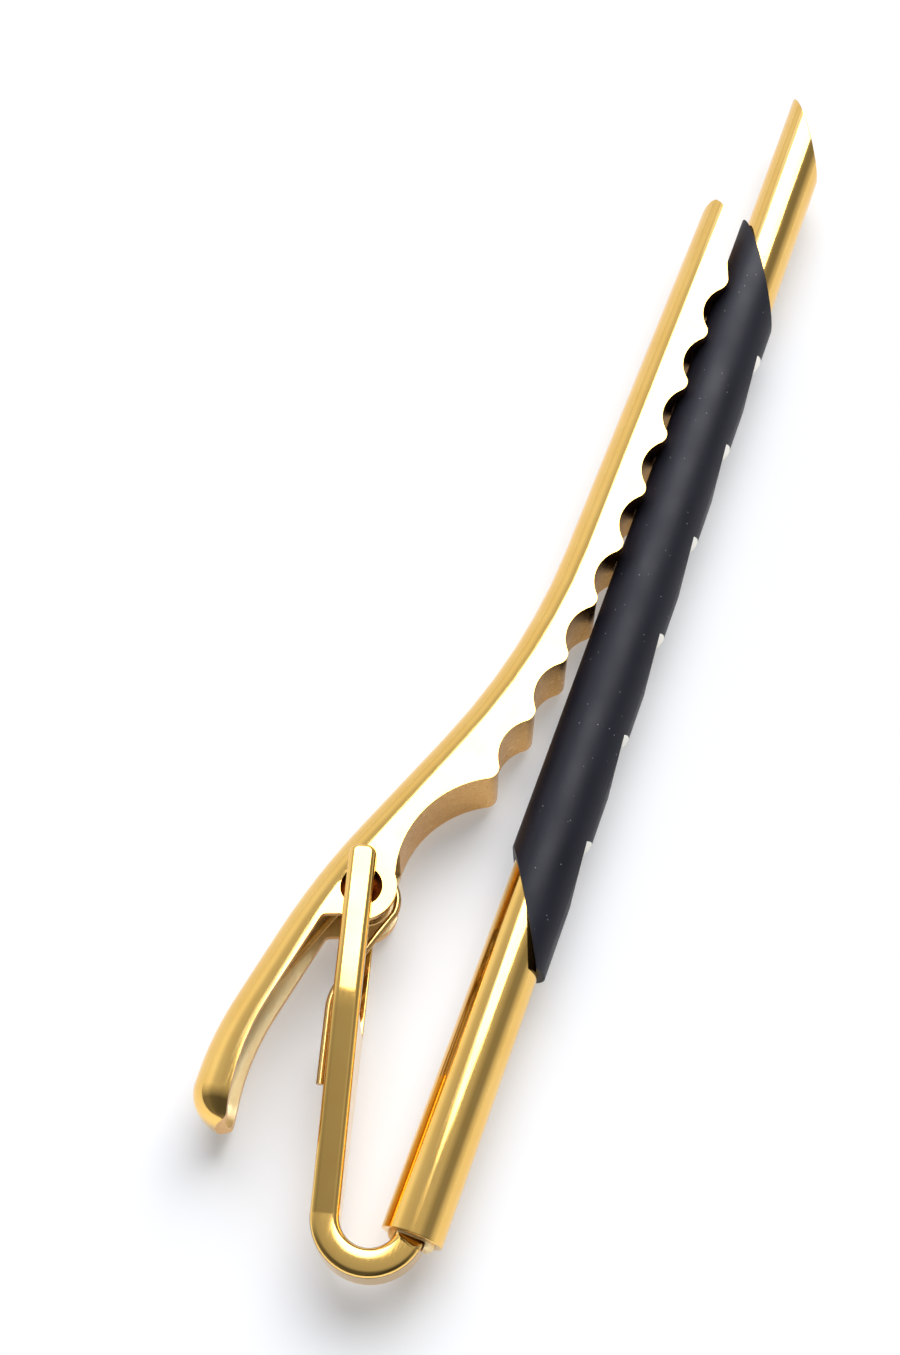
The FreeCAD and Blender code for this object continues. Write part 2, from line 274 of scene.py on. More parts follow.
def round_edges(
    bm: BMesh,
    offset: float,
    least_angle: float,
    segments: int = 3,
    wanted: Optional[Callable[[BMEdge], bool]] = None,
) -> None:
    """Round the edges of a mesh that turn sharply.

    Args:
        bm: The mesh.
        offset: How far the round reaches from each edge.
        least_angle: The least turn between two faces, in degrees.
        segments: Faces across the round.
        wanted: A further test that an edge has to pass.
    """
    limit = math.radians(least_angle)
    edges = [
        edge
        for edge in bm.edges
        if len(edge.link_faces) == 2
        and edge.calc_face_angle(0.0) > limit
        and (wanted is None or wanted(edge))
    ]
    bmesh.ops.bevel(
        bm,
        geom=edges,
        offset=offset,
        offset_type="OFFSET",
        affect="EDGES",
        segments=segments,
        profile=0.5,
        material=-1,
        clamp_overlap=False,
    )


def round_bar(radius: float, start: float, end: float, facets: int) -> BMesh:
    """Make a closed round bar on the clip's bar axis.

    Args:
        radius: Its radius.
        start: Where it begins along X.
        end: Where it ends along X.
        facets: How many flats stand for the round.

    Returns:
        The closed mesh.
    """
    bm = bmesh.new()
    middle = Matrix.Translation(X_AXIS * ((start + end) / 2.0))
    bmesh.ops.create_cone(
        bm,
        cap_ends=True,
        segments=facets,
        radius1=radius,
        radius2=radius,
        depth=end - start,
        matrix=middle @ Matrix.Rotation(math.pi / 2.0, 4, "Y"),
    )
    return bm


def bisect_closed(bm: BMesh, point: Vector, away: Vector) -> None:
    """Cut off what lies past a plane and close the cut with one face.

    Args:
        bm: The mesh.
        point: A point on the plane.
        away: The direction that points to what is cut off.
    """
    found = bmesh.ops.bisect_plane(
        bm, geom=bm.verts[:] + bm.edges[:] + bm.faces[:], plane_co=point, plane_no=away, clear_outer=True
    )
    edges = [item for item in found["geom_cut"] if isinstance(item, BMEdge)]
    bmesh.ops.edgeloop_fill(bm, edges=edges)


def upright_cone(bm: BMesh, foot: float, top: float, low: float, high: float) -> None:
    """Add a closed cone or cylinder on the hinge's axis.

    Args:
        bm: The mesh that it is added to.
        foot: The radius at the lower height.
        top: The radius at the upper height.
        low: The lower height.
        high: The upper height.
    """
    bmesh.ops.create_cone(
        bm,
        cap_ends=True,
        segments=BORE_FACETS,
        radius1=foot,
        radius2=top,
        depth=high - low,
        matrix=Matrix.Translation(PIVOT + Z_AXIS * ((low + high) / 2.0)),
    )


def new_verts(grown: dict[str, Any]) -> list[BMVert]:
    """Return the vertices among what an extrusion made."""
    return [item for item in grown["geom"] if isinstance(item, BMVert)]


def prism(bm: BMesh, points: list[Vector], low: float, high: float) -> None:
    """Add the closed solid that an outline in XY makes between two heights.

    Args:
        bm: The mesh that it is added to.
        points: The outline's points, in order.
        low: The lower height.
        high: The upper height.
    """
    face = bm.faces.new([bm.verts.new(point + Z_AXIS * low) for point in points])
    top = new_verts(bmesh.ops.extrude_face_region(bm, geom=[face]))
    bmesh.ops.translate(bm, verts=top, vec=Z_AXIS * (high - low))
    faces = list({linked for vert in top for linked in vert.link_faces} | {face})
    bmesh.ops.recalc_face_normals(bm, faces=faces)


def painted(bm: BMesh, place: int) -> BMesh:
    """Give all faces of a mesh one material.

    Args:
        bm: The mesh.
        place: The material's place in the piece's list.

    Returns:
        The same mesh.
    """
    for face in bm.faces:
        face.material_index = place
    return bm


def make_piece(name: str, bm: BMesh, materials: list[Material], sharp: float = 32.0) -> Object:
    """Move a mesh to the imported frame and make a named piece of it.

    Args:
        name: The piece's name.
        bm: The mesh, in millimetres in the maker's frame. It is freed.
        materials: The materials that the mesh's faces refer to.
        sharp: Edges that turn by more degrees than this stay sharp.

    Returns:
        The piece's object, at the origin.
    """
    bmesh.ops.transform(bm, matrix=TO_FRAME, verts=bm.verts)
    obj = mesh_object(name, bm, materials)
    mesh = obj.data
    mesh.polygons.foreach_set("use_smooth", [True] * len(mesh.polygons))
    mesh.set_sharp_from_angle(angle=math.radians(sharp))
    LOG.info("%s: %d faces", name, len(mesh.polygons))
    return obj


def keep_flats_flat(obj: Object) -> None:
    """Let large flat faces set the shading of the rounds beside them.

    Args:
        obj: The finished piece.
    """
    weighted = obj.modifiers.new("flat_faces", "WEIGHTED_NORMAL")
    weighted.mode = "FACE_AREA"
    weighted.weight = 50
    weighted.keep_sharp = True


def linear(hex_colour: str) -> tuple[float, float, float, float]:
    """Turn an sRGB hex colour into linear RGBA.

    Args:
        hex_colour: The colour, as a hash sign and six hex digits.

    Returns:
        Red, green, blue and an alpha of 1.
    """
    channels = [int(hex_colour[place:place + 2], 16) / 255.0 for place in (1, 3, 5)]
    curve = [c / 12.92 if c <= 0.04045 else ((c + 0.055) / 1.055) ** 2.4 for c in channels]
    return (curve[0], curve[1], curve[2], 1.0)


def add_node(
    tree: NodeTree,
    kind: str,
    values: Optional[dict[Any, Any]] = None,
    links: Optional[dict[Any, NodeSocket]] = None,
    **settings: Any,
) -> Node:
    """Add a node with its settings and links.

    Args:
        tree: The tree that it goes into.
        kind: The node's type.
        values: Socket values, by socket name or number.
        links: Sockets that feed this node, by its socket name or number.
        **settings: The node's own settings.

    Returns:
        The new node.
    """
    node = tree.nodes.new(kind)
    for key, value in settings.items():
        setattr(node, key, value)
    for key, value in (values or {}).items():
        node.inputs[key].default_value = value
    for key, socket in (links or {}).items():
        tree.links.new(socket, node.inputs[key])
    return node


def new_material(name: str) -> tuple[Material, NodeTree]:
    """Start a material with an empty node tree.

    Args:
        name: The material's name.

    Returns:
        The material and its tree.
    """
    material = bpy.data.materials.new(name)
    material.use_nodes = True
    material.node_tree.nodes.clear()
    return material, material.node_tree


def per_mm(size: float) -> float:
    """Return the pattern scale, on metres, that repeats about once in a size in millimetres."""
    return 1.0 / (size * MM)


def grain(size: float, detail: float) -> dict[str, float]:
    """Return the socket values of a noise whose blots have a size in millimetres."""
    return {"Scale": per_mm(size), "Detail": detail}


def mapped(source: tuple[float, float], target: tuple[float, float]) -> dict[str, float]:
    """Return the socket values that map one range to another."""
    return {"From Min": source[0], "From Max": source[1], "To Min": target[0], "To Max": target[1]}


@dataclass(frozen=True)
class PolishedGoldPlate:
    """Gold plate on polished brass: a warm mirror, a little uneven where the buffing wheel passed."""

    name: str = "polished_gold_plate"
    colour: str = "#F6CD7A"
    deep: str = "#EDBC62"
    smooth: float = 0.07
    dull: float = 0.14
    streak_range: tuple[float, float] = (0.12, 0.42)
    cloud_mm: float = 1.6
    cloud_detail: float = 3.0
    # Real buffing lines are finer, and these are as coarse as they need to be to show.
    hairline_mm: float = 0.09
    hairline_run_mm: float = 3.0
    hairline_height_mm: float = 0.00016
    hairline_detail: float = 2.0
    wave_mm: float = 2.4
    wave_height_mm: float = 0.008
    wave_detail: float = 1.0

    def make(self) -> Material:
        """Build the finish from nodes.

        Returns:
            The material.
        """
        material, tree = new_material(self.name)
        place = {"Vector": add_node(tree, "ShaderNodeTexCoord").outputs["Object"]}
        stretch = {"Scale": (self.hairline_mm / self.hairline_run_mm, 1.0, 1.0)}
        along = {"Vector": add_node(tree, "ShaderNodeMapping", stretch, place).outputs["Vector"]}
        cloud_grain = grain(self.cloud_mm, self.cloud_detail)
        clouds = add_node(tree, "ShaderNodeTexNoise", cloud_grain, place).outputs["Fac"]
        line_grain = grain(self.hairline_mm, self.hairline_detail)
        hairlines = add_node(tree, "ShaderNodeTexNoise", line_grain, along).outputs["Fac"]
        wave_grain = grain(self.wave_mm, self.wave_detail)
        waves = add_node(tree, "ShaderNodeTexNoise", wave_grain, place).outputs["Fac"]
        colours = {6: linear(self.colour), 7: linear(self.deep)}
        tint = add_node(tree, "ShaderNodeMix", colours, {0: clouds}, data_type="RGBA")
        streaks = add_node(tree, "ShaderNodeMath", links={0: clouds, 1: hairlines}, operation="MULTIPLY")
        wear = mapped(self.streak_range, (self.smooth, self.dull))
        rough = add_node(tree, "ShaderNodeMapRange", wear, {"Value": streaks.outputs[0]})
        swell = add_node(tree, "ShaderNodeBump", {"Distance": self.wave_height_mm * MM}, {"Height": waves})
        scratched = {"Height": hairlines, "Normal": swell.outputs["Normal"]}
        scratch = add_node(tree, "ShaderNodeBump", {"Distance": self.hairline_height_mm * MM}, scratched)
        feeds = {
            "Base Color": tint.outputs[2],
            "Roughness": rough.outputs["Result"],
            "Normal": scratch.outputs["Normal"],
        }
        shader = add_node(tree, "ShaderNodeBsdfPrincipled", {"Metallic": 1.0}, feeds)
        add_node(tree, "ShaderNodeOutputMaterial", links={"Surface": shader.outputs["BSDF"]})
        return material


@dataclass(frozen=True)
class SatinBlackAnodised:
    """Black anodised aluminium, bead blasted first: deep black with a soft sheen and tiny pale specks."""

    name: str = "satin_black_anodised"
    colour: str = "#11111A"
    pale: str = "#1B1B25"
    speck: str = "#B9BAC0"
    smooth: float = 0.44
    dull: float = 0.58
    # Real blasting grit leaves finer dents, and these are as coarse as they need to be to show.
    blast_mm: float = 0.11
    blast_height_mm: float = 0.004
    blast_detail: float = 2.0
    cloud_mm: float = 2.2
    cloud_detail: float = 4.0
    speck_spacing_mm: float = 0.42
    speck_share: float = 0.07
    coating_ior: float = 1.34

    def make(self) -> Material:
        """Build the finish from nodes.

        Returns:
            The material.
        """
        material, tree = new_material(self.name)
        place = {"Vector": add_node(tree, "ShaderNodeTexCoord").outputs["Object"]}
        cloud_grain = grain(self.cloud_mm, self.cloud_detail)
        clouds = add_node(tree, "ShaderNodeTexNoise", cloud_grain, place).outputs["Fac"]
        blast_grain = grain(self.blast_mm, self.blast_detail)
        blast = add_node(tree, "ShaderNodeTexNoise", blast_grain, place).outputs["Fac"]
        spacing = {"Scale": per_mm(self.speck_spacing_mm)}
        specks = add_node(tree, "ShaderNodeTexVoronoi", spacing, place).outputs["Distance"]
        colours = {6: linear(self.colour), 7: linear(self.pale)}
        ground = add_node(tree, "ShaderNodeMix", colours, {0: clouds}, data_type="RGBA")
        closeness = mapped((self.speck_share, 0.0), (0.0, 1.0))
        spot = add_node(tree, "ShaderNodeMapRange", closeness, {"Value": specks})
        speckled = {0: spot.outputs["Result"], 6: ground.outputs[2]}
        tint = add_node(tree, "ShaderNodeMix", {7: linear(self.speck)}, speckled, data_type="RGBA")
        sheen = mapped(NOISE_RANGE, (self.smooth, self.dull))
        rough = add_node(tree, "ShaderNodeMapRange", sheen, {"Value": clouds})
        grit = add_node(tree, "ShaderNodeBump", {"Distance": self.blast_height_mm * MM}, {"Height": blast})
        feeds = {
            "Base Color": tint.outputs[2],
            "Roughness": rough.outputs["Result"],
            "Normal": grit.outputs["Normal"],
        }
        coating = {"Metallic": 0.0, "IOR": self.coating_ior}
        shader = add_node(tree, "ShaderNodeBsdfPrincipled", coating, feeds)
        add_node(tree, "ShaderNodeOutputMaterial", links={"Surface": shader.outputs["BSDF"]})
        return material


@dataclass(frozen=True)
class CutBareMetal:
    """A bare metal surface with the fine parallel marks that a tool, a die or a flame left on it."""

    name: str
    colour: str
    deep: str
    smooth: float
    dull: float
    mark_mm: float
    mark_run_mm: float
    mark_height_mm: float
    mark_detail: float = 3.0

    def make(self) -> Material:
        """Build the finish from nodes.

        Returns:
            The material.
        """
        material, tree = new_material(self.name)
        place = {"Vector": add_node(tree, "ShaderNodeTexCoord").outputs["Object"]}
        stretch = {"Scale": (self.mark_mm / self.mark_run_mm, 1.0, 1.0)}
        along = {"Vector": add_node(tree, "ShaderNodeMapping", stretch, place).outputs["Vector"]}
        mark_grain = grain(self.mark_mm, self.mark_detail)
        marks = add_node(tree, "ShaderNodeTexNoise", mark_grain, along).outputs["Fac"]
        colours = {6: linear(self.colour), 7: linear(self.deep)}
        tint = add_node(tree, "ShaderNodeMix", colours, {0: marks}, data_type="RGBA")
        sheen = mapped(NOISE_RANGE, (self.smooth, self.dull))
        rough = add_node(tree, "ShaderNodeMapRange", sheen, {"Value": marks})
        relief = add_node(tree, "ShaderNodeBump", {"Distance": self.mark_height_mm * MM}, {"Height": marks})
        feeds = {
            "Base Color": tint.outputs[2],
            "Roughness": rough.outputs["Result"],
            "Normal": relief.outputs["Normal"],
        }
        shader = add_node(tree, "ShaderNodeBsdfPrincipled", {"Metallic": 1.0}, feeds)
        add_node(tree, "ShaderNodeOutputMaterial", links={"Surface": shader.outputs["BSDF"]})
        return material


# Turned aluminium is pale and bright, with fine lines from the tool.
BRIGHT_CUT = CutBareMetal("turned_bright_aluminium", "#F3EFE6", "#E2DCCF", 0.12, 0.24, 0.08, 1.2, 0.0004)
# Drawn spring wire with a flash of gold is satin, with lines from the die.
SPRING_WIRE = CutBareMetal("drawn_gilt_spring_wire", "#D9B777", "#B8935A", 0.16, 0.3, 0.05, 0.8, 0.0003)
# Solder that set in air is pale and dull.
SOLDER = CutBareMetal("fused_gold_solder", "#FBE6B4", "#F0D49A", 0.45, 0.6, 0.3, 0.4, 0.002)
# The inside of the pressed tail took little plating and no polish, so it is soft. Its very pale tone is
# partly that thin plating and partly painted light, standing in for the glow of the white table inside the
# hollow.
FOLD_INSIDE = CutBareMetal("flash_gilt_pressed_sheet_painted_light", "#FCEBC0", "#F4DCA4", 0.36, 0.5, 0.12, 0.3, 0.0015)
# Sheared edges kept the die's grain, so they are duller than the polished faces. Their browner tone is
# painted shade, standing in for the gold walls mirroring each other.
CUT_EDGE = CutBareMetal("sheared_gilt_edge_painted_shade", "#F2C472", "#D6963F", 0.24, 0.38, 0.12, 0.3, 0.002)
# The bore and the dishes round it are painted dark brown, as painted shade inside the hole.
PIN_HOLE = CutBareMetal("painted_shade_brass_bore", "#8A5426", "#6E3F1A", 0.2, 0.35, 0.1, 0.3, 0.001)


@dataclass
class Finishes:
    """The materials that the pieces share."""

    gold: Material = field(default_factory=lambda: PolishedGoldPlate().make())
    black: Material = field(default_factory=lambda: SatinBlackAnodised().make())
    bright: Material = field(default_factory=BRIGHT_CUT.make)
    wire: Material = field(default_factory=SPRING_WIRE.make)
    solder: Material = field(default_factory=SOLDER.make)
    pressed: Material = field(default_factory=FOLD_INSIDE.make)
    bore: Material = field(default_factory=PIN_HOLE.make)
    edge: Material = field(default_factory=CUT_EDGE.make)


@dataclass
class FrontBar:
    """The round bar: a long bevel at its tip and a blind socket in its square end."""

    diameter: float = 2.44
    length: float = 55.26
    bevel_angle: float = 28.5
    socket_diameter: float = 1.85
    socket_depth: float = 4.6
    edge_round: float = 0.05
    edge_turn: float = 24.0
    facets: int = 160

    @property
    def radius(self) -> float:
        """Return half the bar's diameter."""
        return self.diameter / 2.0

    @property
    def bevel_slope(self) -> float:
        """Return how far the bevel runs along the bar for each length across it."""
        return 1.0 / math.tan(math.radians(self.bevel_angle))

    def past_bevel(self) -> Vector:
        """Return the direction that points out of a bevelled end."""
        return Vector((1.0, -self.bevel_slope, 0.0)).normalized()

    def build(self, finishes: Finishes) -> Object:
        """Shape and dress the bar.

        Args:
            finishes: The materials that the pieces share.

        Returns:
            The finished piece.
        """
        uncut = self.length + self.radius * self.bevel_slope + OVERRUN
        bm = round_bar(self.radius, 0.0, uncut, self.facets)
        bisect_closed(bm, X_AXIS * self.length, self.past_bevel())
        cap = min(bm.faces, key=lambda face: face.calc_center_median().x)
        wall = self.radius - self.socket_diameter / 2.0
        bmesh.ops.inset_region(bm, faces=[cap], thickness=wall, use_even_offset=True)
        floor = new_verts(bmesh.ops.extrude_face_region(bm, geom=[cap]))
        bmesh.ops.delete(bm, geom=[cap], context="FACES_ONLY")
        bmesh.ops.translate(bm, verts=floor, vec=X_AXIS * self.socket_depth)
        bmesh.ops.recalc_face_normals(bm, faces=bm.faces[:])
        round_edges(bm, self.edge_round, self.edge_turn)
        piece = make_piece("gold_bar", bm, [finishes.gold])
        keep_flats_flat(piece)
        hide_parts("front_bar")
        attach(piece, Body.FRAME.value)
        return piece


@dataclass
class BlackSleeve:
    """The thin black tube over the bar, with slanting bright cuts on its front."""

    bar: FrontBar
    wall: float = 0.275
    fit: float = 0.01
    start: float = 13.3
    length: float = 33.5
    blunt: float = 0.7
    flat_count: int = 6
    flat_pitch: float = 5.0
    flat_first: float = 3.75
    flat_length: float = 2.6
    flat_depth: float = 0.19
    step_lean: float = 0.2
    sharp_turn: float = 20.0
    facets: int = 144

    @property
    def radius(self) -> float:
        """Return the sleeve's outer radius."""
        return self.bar.radius + self.fit + self.wall

    def cuts(self) -> BMesh:
        """Make the wedges that cut the row of bright flats.

        Returns:
            The closed wedges, in the bright material.
        """
        bm = bmesh.new()
        outside = -self.radius - OVERRUN
        for index in range(self.flat_count):
            step = self.start + self.flat_first + index * self.flat_pitch
            heel = step - self.flat_length
            corners = [
                Vector((step + self.step_lean, outside, 0.0)),
                Vector((step + self.step_lean, -self.radius, 0.0)),
                Vector((step, self.flat_depth - self.radius, 0.0)),
                Vector((heel, -self.radius, 0.0)),
                Vector((heel, outside, 0.0)),
            ]
            prism(bm, corners, -self.radius, self.radius)
        return painted(bm, SleeveFace.BRIGHT.value)

    def build(self, finishes: Finishes) -> Object:
        """Shape and dress the sleeve.

        Args:
            finishes: The materials that the pieces share.

        Returns:
            The finished piece.
        """
        reach = self.radius * self.bar.bevel_slope + OVERRUN
        end = self.start + self.length
        away = self.bar.past_bevel()
        materials = [finishes.black, finishes.bright]
        bm = round_bar(self.radius, self.start - reach, end + reach, self.facets)
        bisect_closed(bm, X_AXIS * end, away)
        bisect_closed(bm, X_AXIS * self.start, -away)
        tip = self.start - self.radius * self.bar.bevel_slope + self.blunt
        bisect_closed(bm, X_AXIS * tip, -X_AXIS)
        past = 2.0 * reach
        bore = round_bar(self.bar.radius + self.fit, self.start - past, end + past, self.facets)
        bm = combined(bm, bore, materials=materials)
        bm = combined(bm, self.cuts(), materials=materials)
        piece = make_piece("black_sleeve_tube", bm, materials, self.sharp_turn)
        keep_flats_flat(piece)
        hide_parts("black_sleeve")
        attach(piece, Body.FRAME.value)
        return piece


@dataclass
class JawLever:
    """The lever: solid and toothed in front of its countersunk ears, with a hollow tail behind them."""

    sheet: float = 0.34
    hollow_reach: float = 1.9
    jaw_reach: float = 37.8
    tail_reach: float = 10.65
    nose_half_width: float = 1.45
    tail_half_width: float = 1.7
    back_round: float = 1.38
    fold_segments: int = 10
    nose_height: float = 3.42
    nose_depth: float = 0.95
    nose_slope: float = 0.5
    nose_corner: float = 0.4
    nose_round: float = 0.5
    knee_reach: float = 12.4
    knee_height: float = 3.87
    knee_round: float = 30.0
    shoulder_reach: float = 0.14
    shoulder_rise: float = 2.12
    shoulder_round: float = 30.0
    bow_inset: float = 3.36
    bow_rise: float = 3.5
    bow_round: float = 13.0
    tail_rise: float = 3.3
    tail_round: float = 1.44
    tail_corner: float = 0.4
    tail_lip_rise: float = 1.6
    lip_round: float = 0.3
    tail_waist_inset: float = 3.18
    tail_waist_rise: float = 2.2
    tail_waist_round: float = 10.5
    notch_back: float = 1.6
    notch_rise: float = 1.04
    notch_round: float = 0.3
    ear_radius: float = 1.4
    dish_diameter: float = 1.7
    dish_depth: float = 0.26
    bore_diameter: float = 0.96
    ear_top_angle: float = 165.0
    ear_arch_angle: float = -50.0
    arch_crown_reach: float = 3.0
    arch_crown_drop: float = 0.97
    tooth_count: int = 10
    nose_margin: float = 4.85
    last_tooth_reach: float = 6.38
    tooth_land: float = 0.45
    tip_trim: float = 0.19
    scallop_depth: float = 0.58
    first_tooth_height: float = 1.065
    edge_slope_angle: float = 1.1
    edge_bow_start: float = 12.0
    edge_bow_radius: float = 75.0
    trough_radius: float = 1.55
    trough_facets: int = 144

    @property
    def nose_end(self) -> float:
        """Return where the nose ends along X."""
        return PIVOT.x + self.jaw_reach

    @property
    def tail_end(self) -> float:
        """Return where the tail ends along X."""
        return PIVOT.x - self.tail_reach

    def half_width(self, place: float) -> float:
        """Return half the lever's width at a place along X."""
        share = (place - self.tail_end) / (self.nose_end - self.tail_end)
        return self.tail_half_width + share * (self.nose_half_width - self.tail_half_width)

    def tooth_point(self, reach: float) -> Vector:
        """Find a point of the line of tooth tips.

        Args:
            reach: Its distance from the hinge along X.

        Returns:
            The point, in the middle plane.
        """
        travel = self.jaw_reach - self.nose_margin - reach
        slope = math.tan(math.radians(self.edge_slope_angle))
        bow = max(0.0, travel - self.edge_bow_start) ** 2 / (2.0 * self.edge_bow_radius)
        return Vector((PIVOT.x + reach, self.first_tooth_height + travel * slope + bow, 0.0))

    def from_pivot(self, along: float, across: float) -> Vector:
        """Return a point given from the hinge along X and Y."""
        return PIVOT + Vector((along, across, 0.0))

    def folded_block(self, wall: float, nose_stop: float, foot: float) -> BMesh:
        """Return the block under the lever's back, with the folds between back and sides rounded.

        Args:
            wall: How far the block lies inside the lever's outer faces.
            nose_stop: Where the block ends towards the nose.
            foot: How low the block reaches.

        Returns:
            The closed block, which runs past the lever's free edges.
        """
        nose_top = self.nose_end - self.nose_corner
        knee = PIVOT.x + self.knee_reach
        slope = (self.knee_height - self.nose_height) / (knee - nose_top)
        nose = Vector((nose_stop, self.nose_height + (nose_stop - nose_top) * slope - wall, 0.0))
        bow_back = self.tail_reach - self.bow_inset
        points = rounded_run([
            (nose, 0.0),
            (Vector((knee, self.knee_height - wall, 0.0)), self.knee_round),
            (self.from_pivot(self.shoulder_reach, self.shoulder_rise - wall), self.shoulder_round),
            (self.from_pivot(-bow_back, self.bow_rise - wall), self.bow_round),
            (self.from_pivot(wall - self.tail_reach, self.tail_rise - wall), self.tail_round - wall),
            (Vector((self.tail_end + wall, foot, 0.0)), 0.0),
            (Vector((nose_stop, foot, 0.0)), 0.0),
        ])
        bm = bmesh.new()
        prism(bm, points, -self.tail_half_width, self.tail_half_width)
        for vert in bm.verts:
            vert.co.z = math.copysign(self.half_width(vert.co.x) - wall, vert.co.z)

        def is_fold(edge: BMEdge) -> bool:
            """Say whether an edge is a fold between the back and a side."""
            ends = [vert.co for vert in edge.verts]
            at_foot = max(ends[0].y, ends[1].y) < foot + FINE
            at_nose = min(ends[0].x, ends[1].x) > nose_stop - FINE
            return ends[0].z * ends[1].z > 0.0 and not at_foot and not at_nose

        round_edges(bm, self.back_round - wall, CORNER_TURN, self.fold_segments, is_fold)
        return bm

    def side_shape(self) -> BMesh:
        """Make the block that trims the lever to its nose, lip, waist, notch, ear, arch and teeth.

        Returns:
            The closed block, which is wider than the lever.
        """
        half_land = self.tooth_land / 2.0
        first = self.jaw_reach - self.nose_margin
        pitch = (first - self.last_tooth_reach) / (self.tooth_count - 1)
        reaches = [first - index * pitch for index in range(self.tooth_count)]
        ear_top = polar(PIVOT, self.ear_radius, self.ear_top_angle)
        lip = self.from_pivot(self.tail_corner - self.tail_reach, self.tail_lip_rise)
        over = lip + (Y_AXIS - X_AXIS) * OVERRUN
        waist = self.from_pivot(self.tail_waist_inset - self.tail_reach, self.tail_waist_rise)
        points = rounded_run([
            (over, 0.0),
            (lip, self.lip_round),
            (waist, self.tail_waist_round),
            (self.from_pivot(-self.notch_back, self.notch_rise), self.notch_round),
            (ear_top, 0.0),
        ])
        ear_arch = polar(PIVOT, self.ear_radius, self.ear_arch_angle)
        ear_middle = (self.ear_top_angle + self.ear_arch_angle + 360.0) / 2.0
        points += arc_through(ear_top, polar(PIVOT, self.ear_radius, ear_middle), ear_arch)
        crown = self.from_pivot(self.arch_crown_reach, -self.arch_crown_drop)
        start = ear_arch
        last = self.tooth_count - 1
        for index in range(last, -1, -1):
            end = self.tooth_point(reaches[index] - half_land)
            scallop = (start + end) / 2.0 + Y_AXIS * self.scallop_depth
            run = arc_through(start, scallop if index < last else crown, end)
            run = [p for p in run if min((p - start).length, (p - end).length) > self.tip_trim]
            if index < last:
                points += arc_through(points[-1], self.tooth_point(reaches[index + 1]), run[0])
            points += run[1:]
            start = self.tooth_point(reaches[index] + half_land)
        points += arc_through(points[-1], self.tooth_point(reaches[0]), start)
        nose_front = Vector((self.nose_end, self.nose_height - self.nose_corner, 0.0))
        nose_foot = Vector((self.nose_end - self.nose_slope, self.nose_height - self.nose_depth, 0.0))
        rise = over.y - nose_front.y
        points += rounded_run([
            (self.tooth_point(reaches[0] + half_land), 0.0),
            (nose_foot, self.nose_round),
            (nose_front, self.nose_round / 2.0),
            (nose_front + Vector((-rise, rise, 0.0)), 0.0),
        ])[1:]
        bm = bmesh.new()
        prism(bm, points, -self.tail_half_width - OVERRUN, self.tail_half_width + OVERRUN)
        return bm

    def build(self, finishes: Finishes) -> Object:
        """Shape and dress the lever.

        Args:
            finishes: The materials that the pieces share.

        Returns:
            The finished piece.
        """
        materials = [finishes.gold, finishes.pressed, finishes.bore, finishes.edge]
        bm = self.folded_block(0.0, self.nose_end + OVERRUN, -OVERRUN)
        # The trimmed edges and tooth walls take the browner finish of painted shade.
        trim = painted(self.side_shape(), LeverFace.EDGE.value)
        bm = combined(bm, trim, Combine.KEEP_COMMON, materials)
        inner_nose = self.nose_end - self.nose_corner - self.sheet
        inside = self.folded_block(self.sheet, inner_nose, -2.0 * OVERRUN)
        bisect_closed(inside, X_AXIS * (PIVOT.x + self.hollow_reach), X_AXIS)
        # The hollow's inside gets the pale pressed finish, which holds painted light.
        bm = combined(bm, painted(inside, LeverFace.PRESSED.value), materials=materials)
        trough = round_bar(self.trough_radius, 0.0, self.nose_end + OVERRUN, self.trough_facets)
        # The trough's faces take the same browner finish of painted shade.
        bm = combined(bm, painted(trough, LeverFace.EDGE.value), materials=materials)
        reach = self.tail_half_width + OVERRUN
        narrow = self.bore_diameter / 2.0
        bore = bmesh.new()
        upright_cone(bore, narrow, narrow, -reach, reach)
        # The bore is painted dark brown for the shade inside it.
        bm = combined(bm, painted(bore, LeverFace.BORE.value), materials=materials)
        floor = self.half_width(PIVOT.x) - self.dish_depth
        mouth = floor + 2.0 * self.dish_depth
        wide = self.dish_diameter - narrow
        dishes = bmesh.new()
        upright_cone(dishes, narrow, wide, floor, mouth)
        upright_cone(dishes, wide, narrow, -mouth, -floor)
        # The dishes are painted the same dark brown for their shade.
        bm = combined(bm, painted(dishes, LeverFace.BORE.value), materials=materials)
        piece = make_piece("toothed_lever", bm, materials)
        keep_flats_flat(piece)
        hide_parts("jaw_lever")
        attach(piece, Body.JAW.value)
        return piece


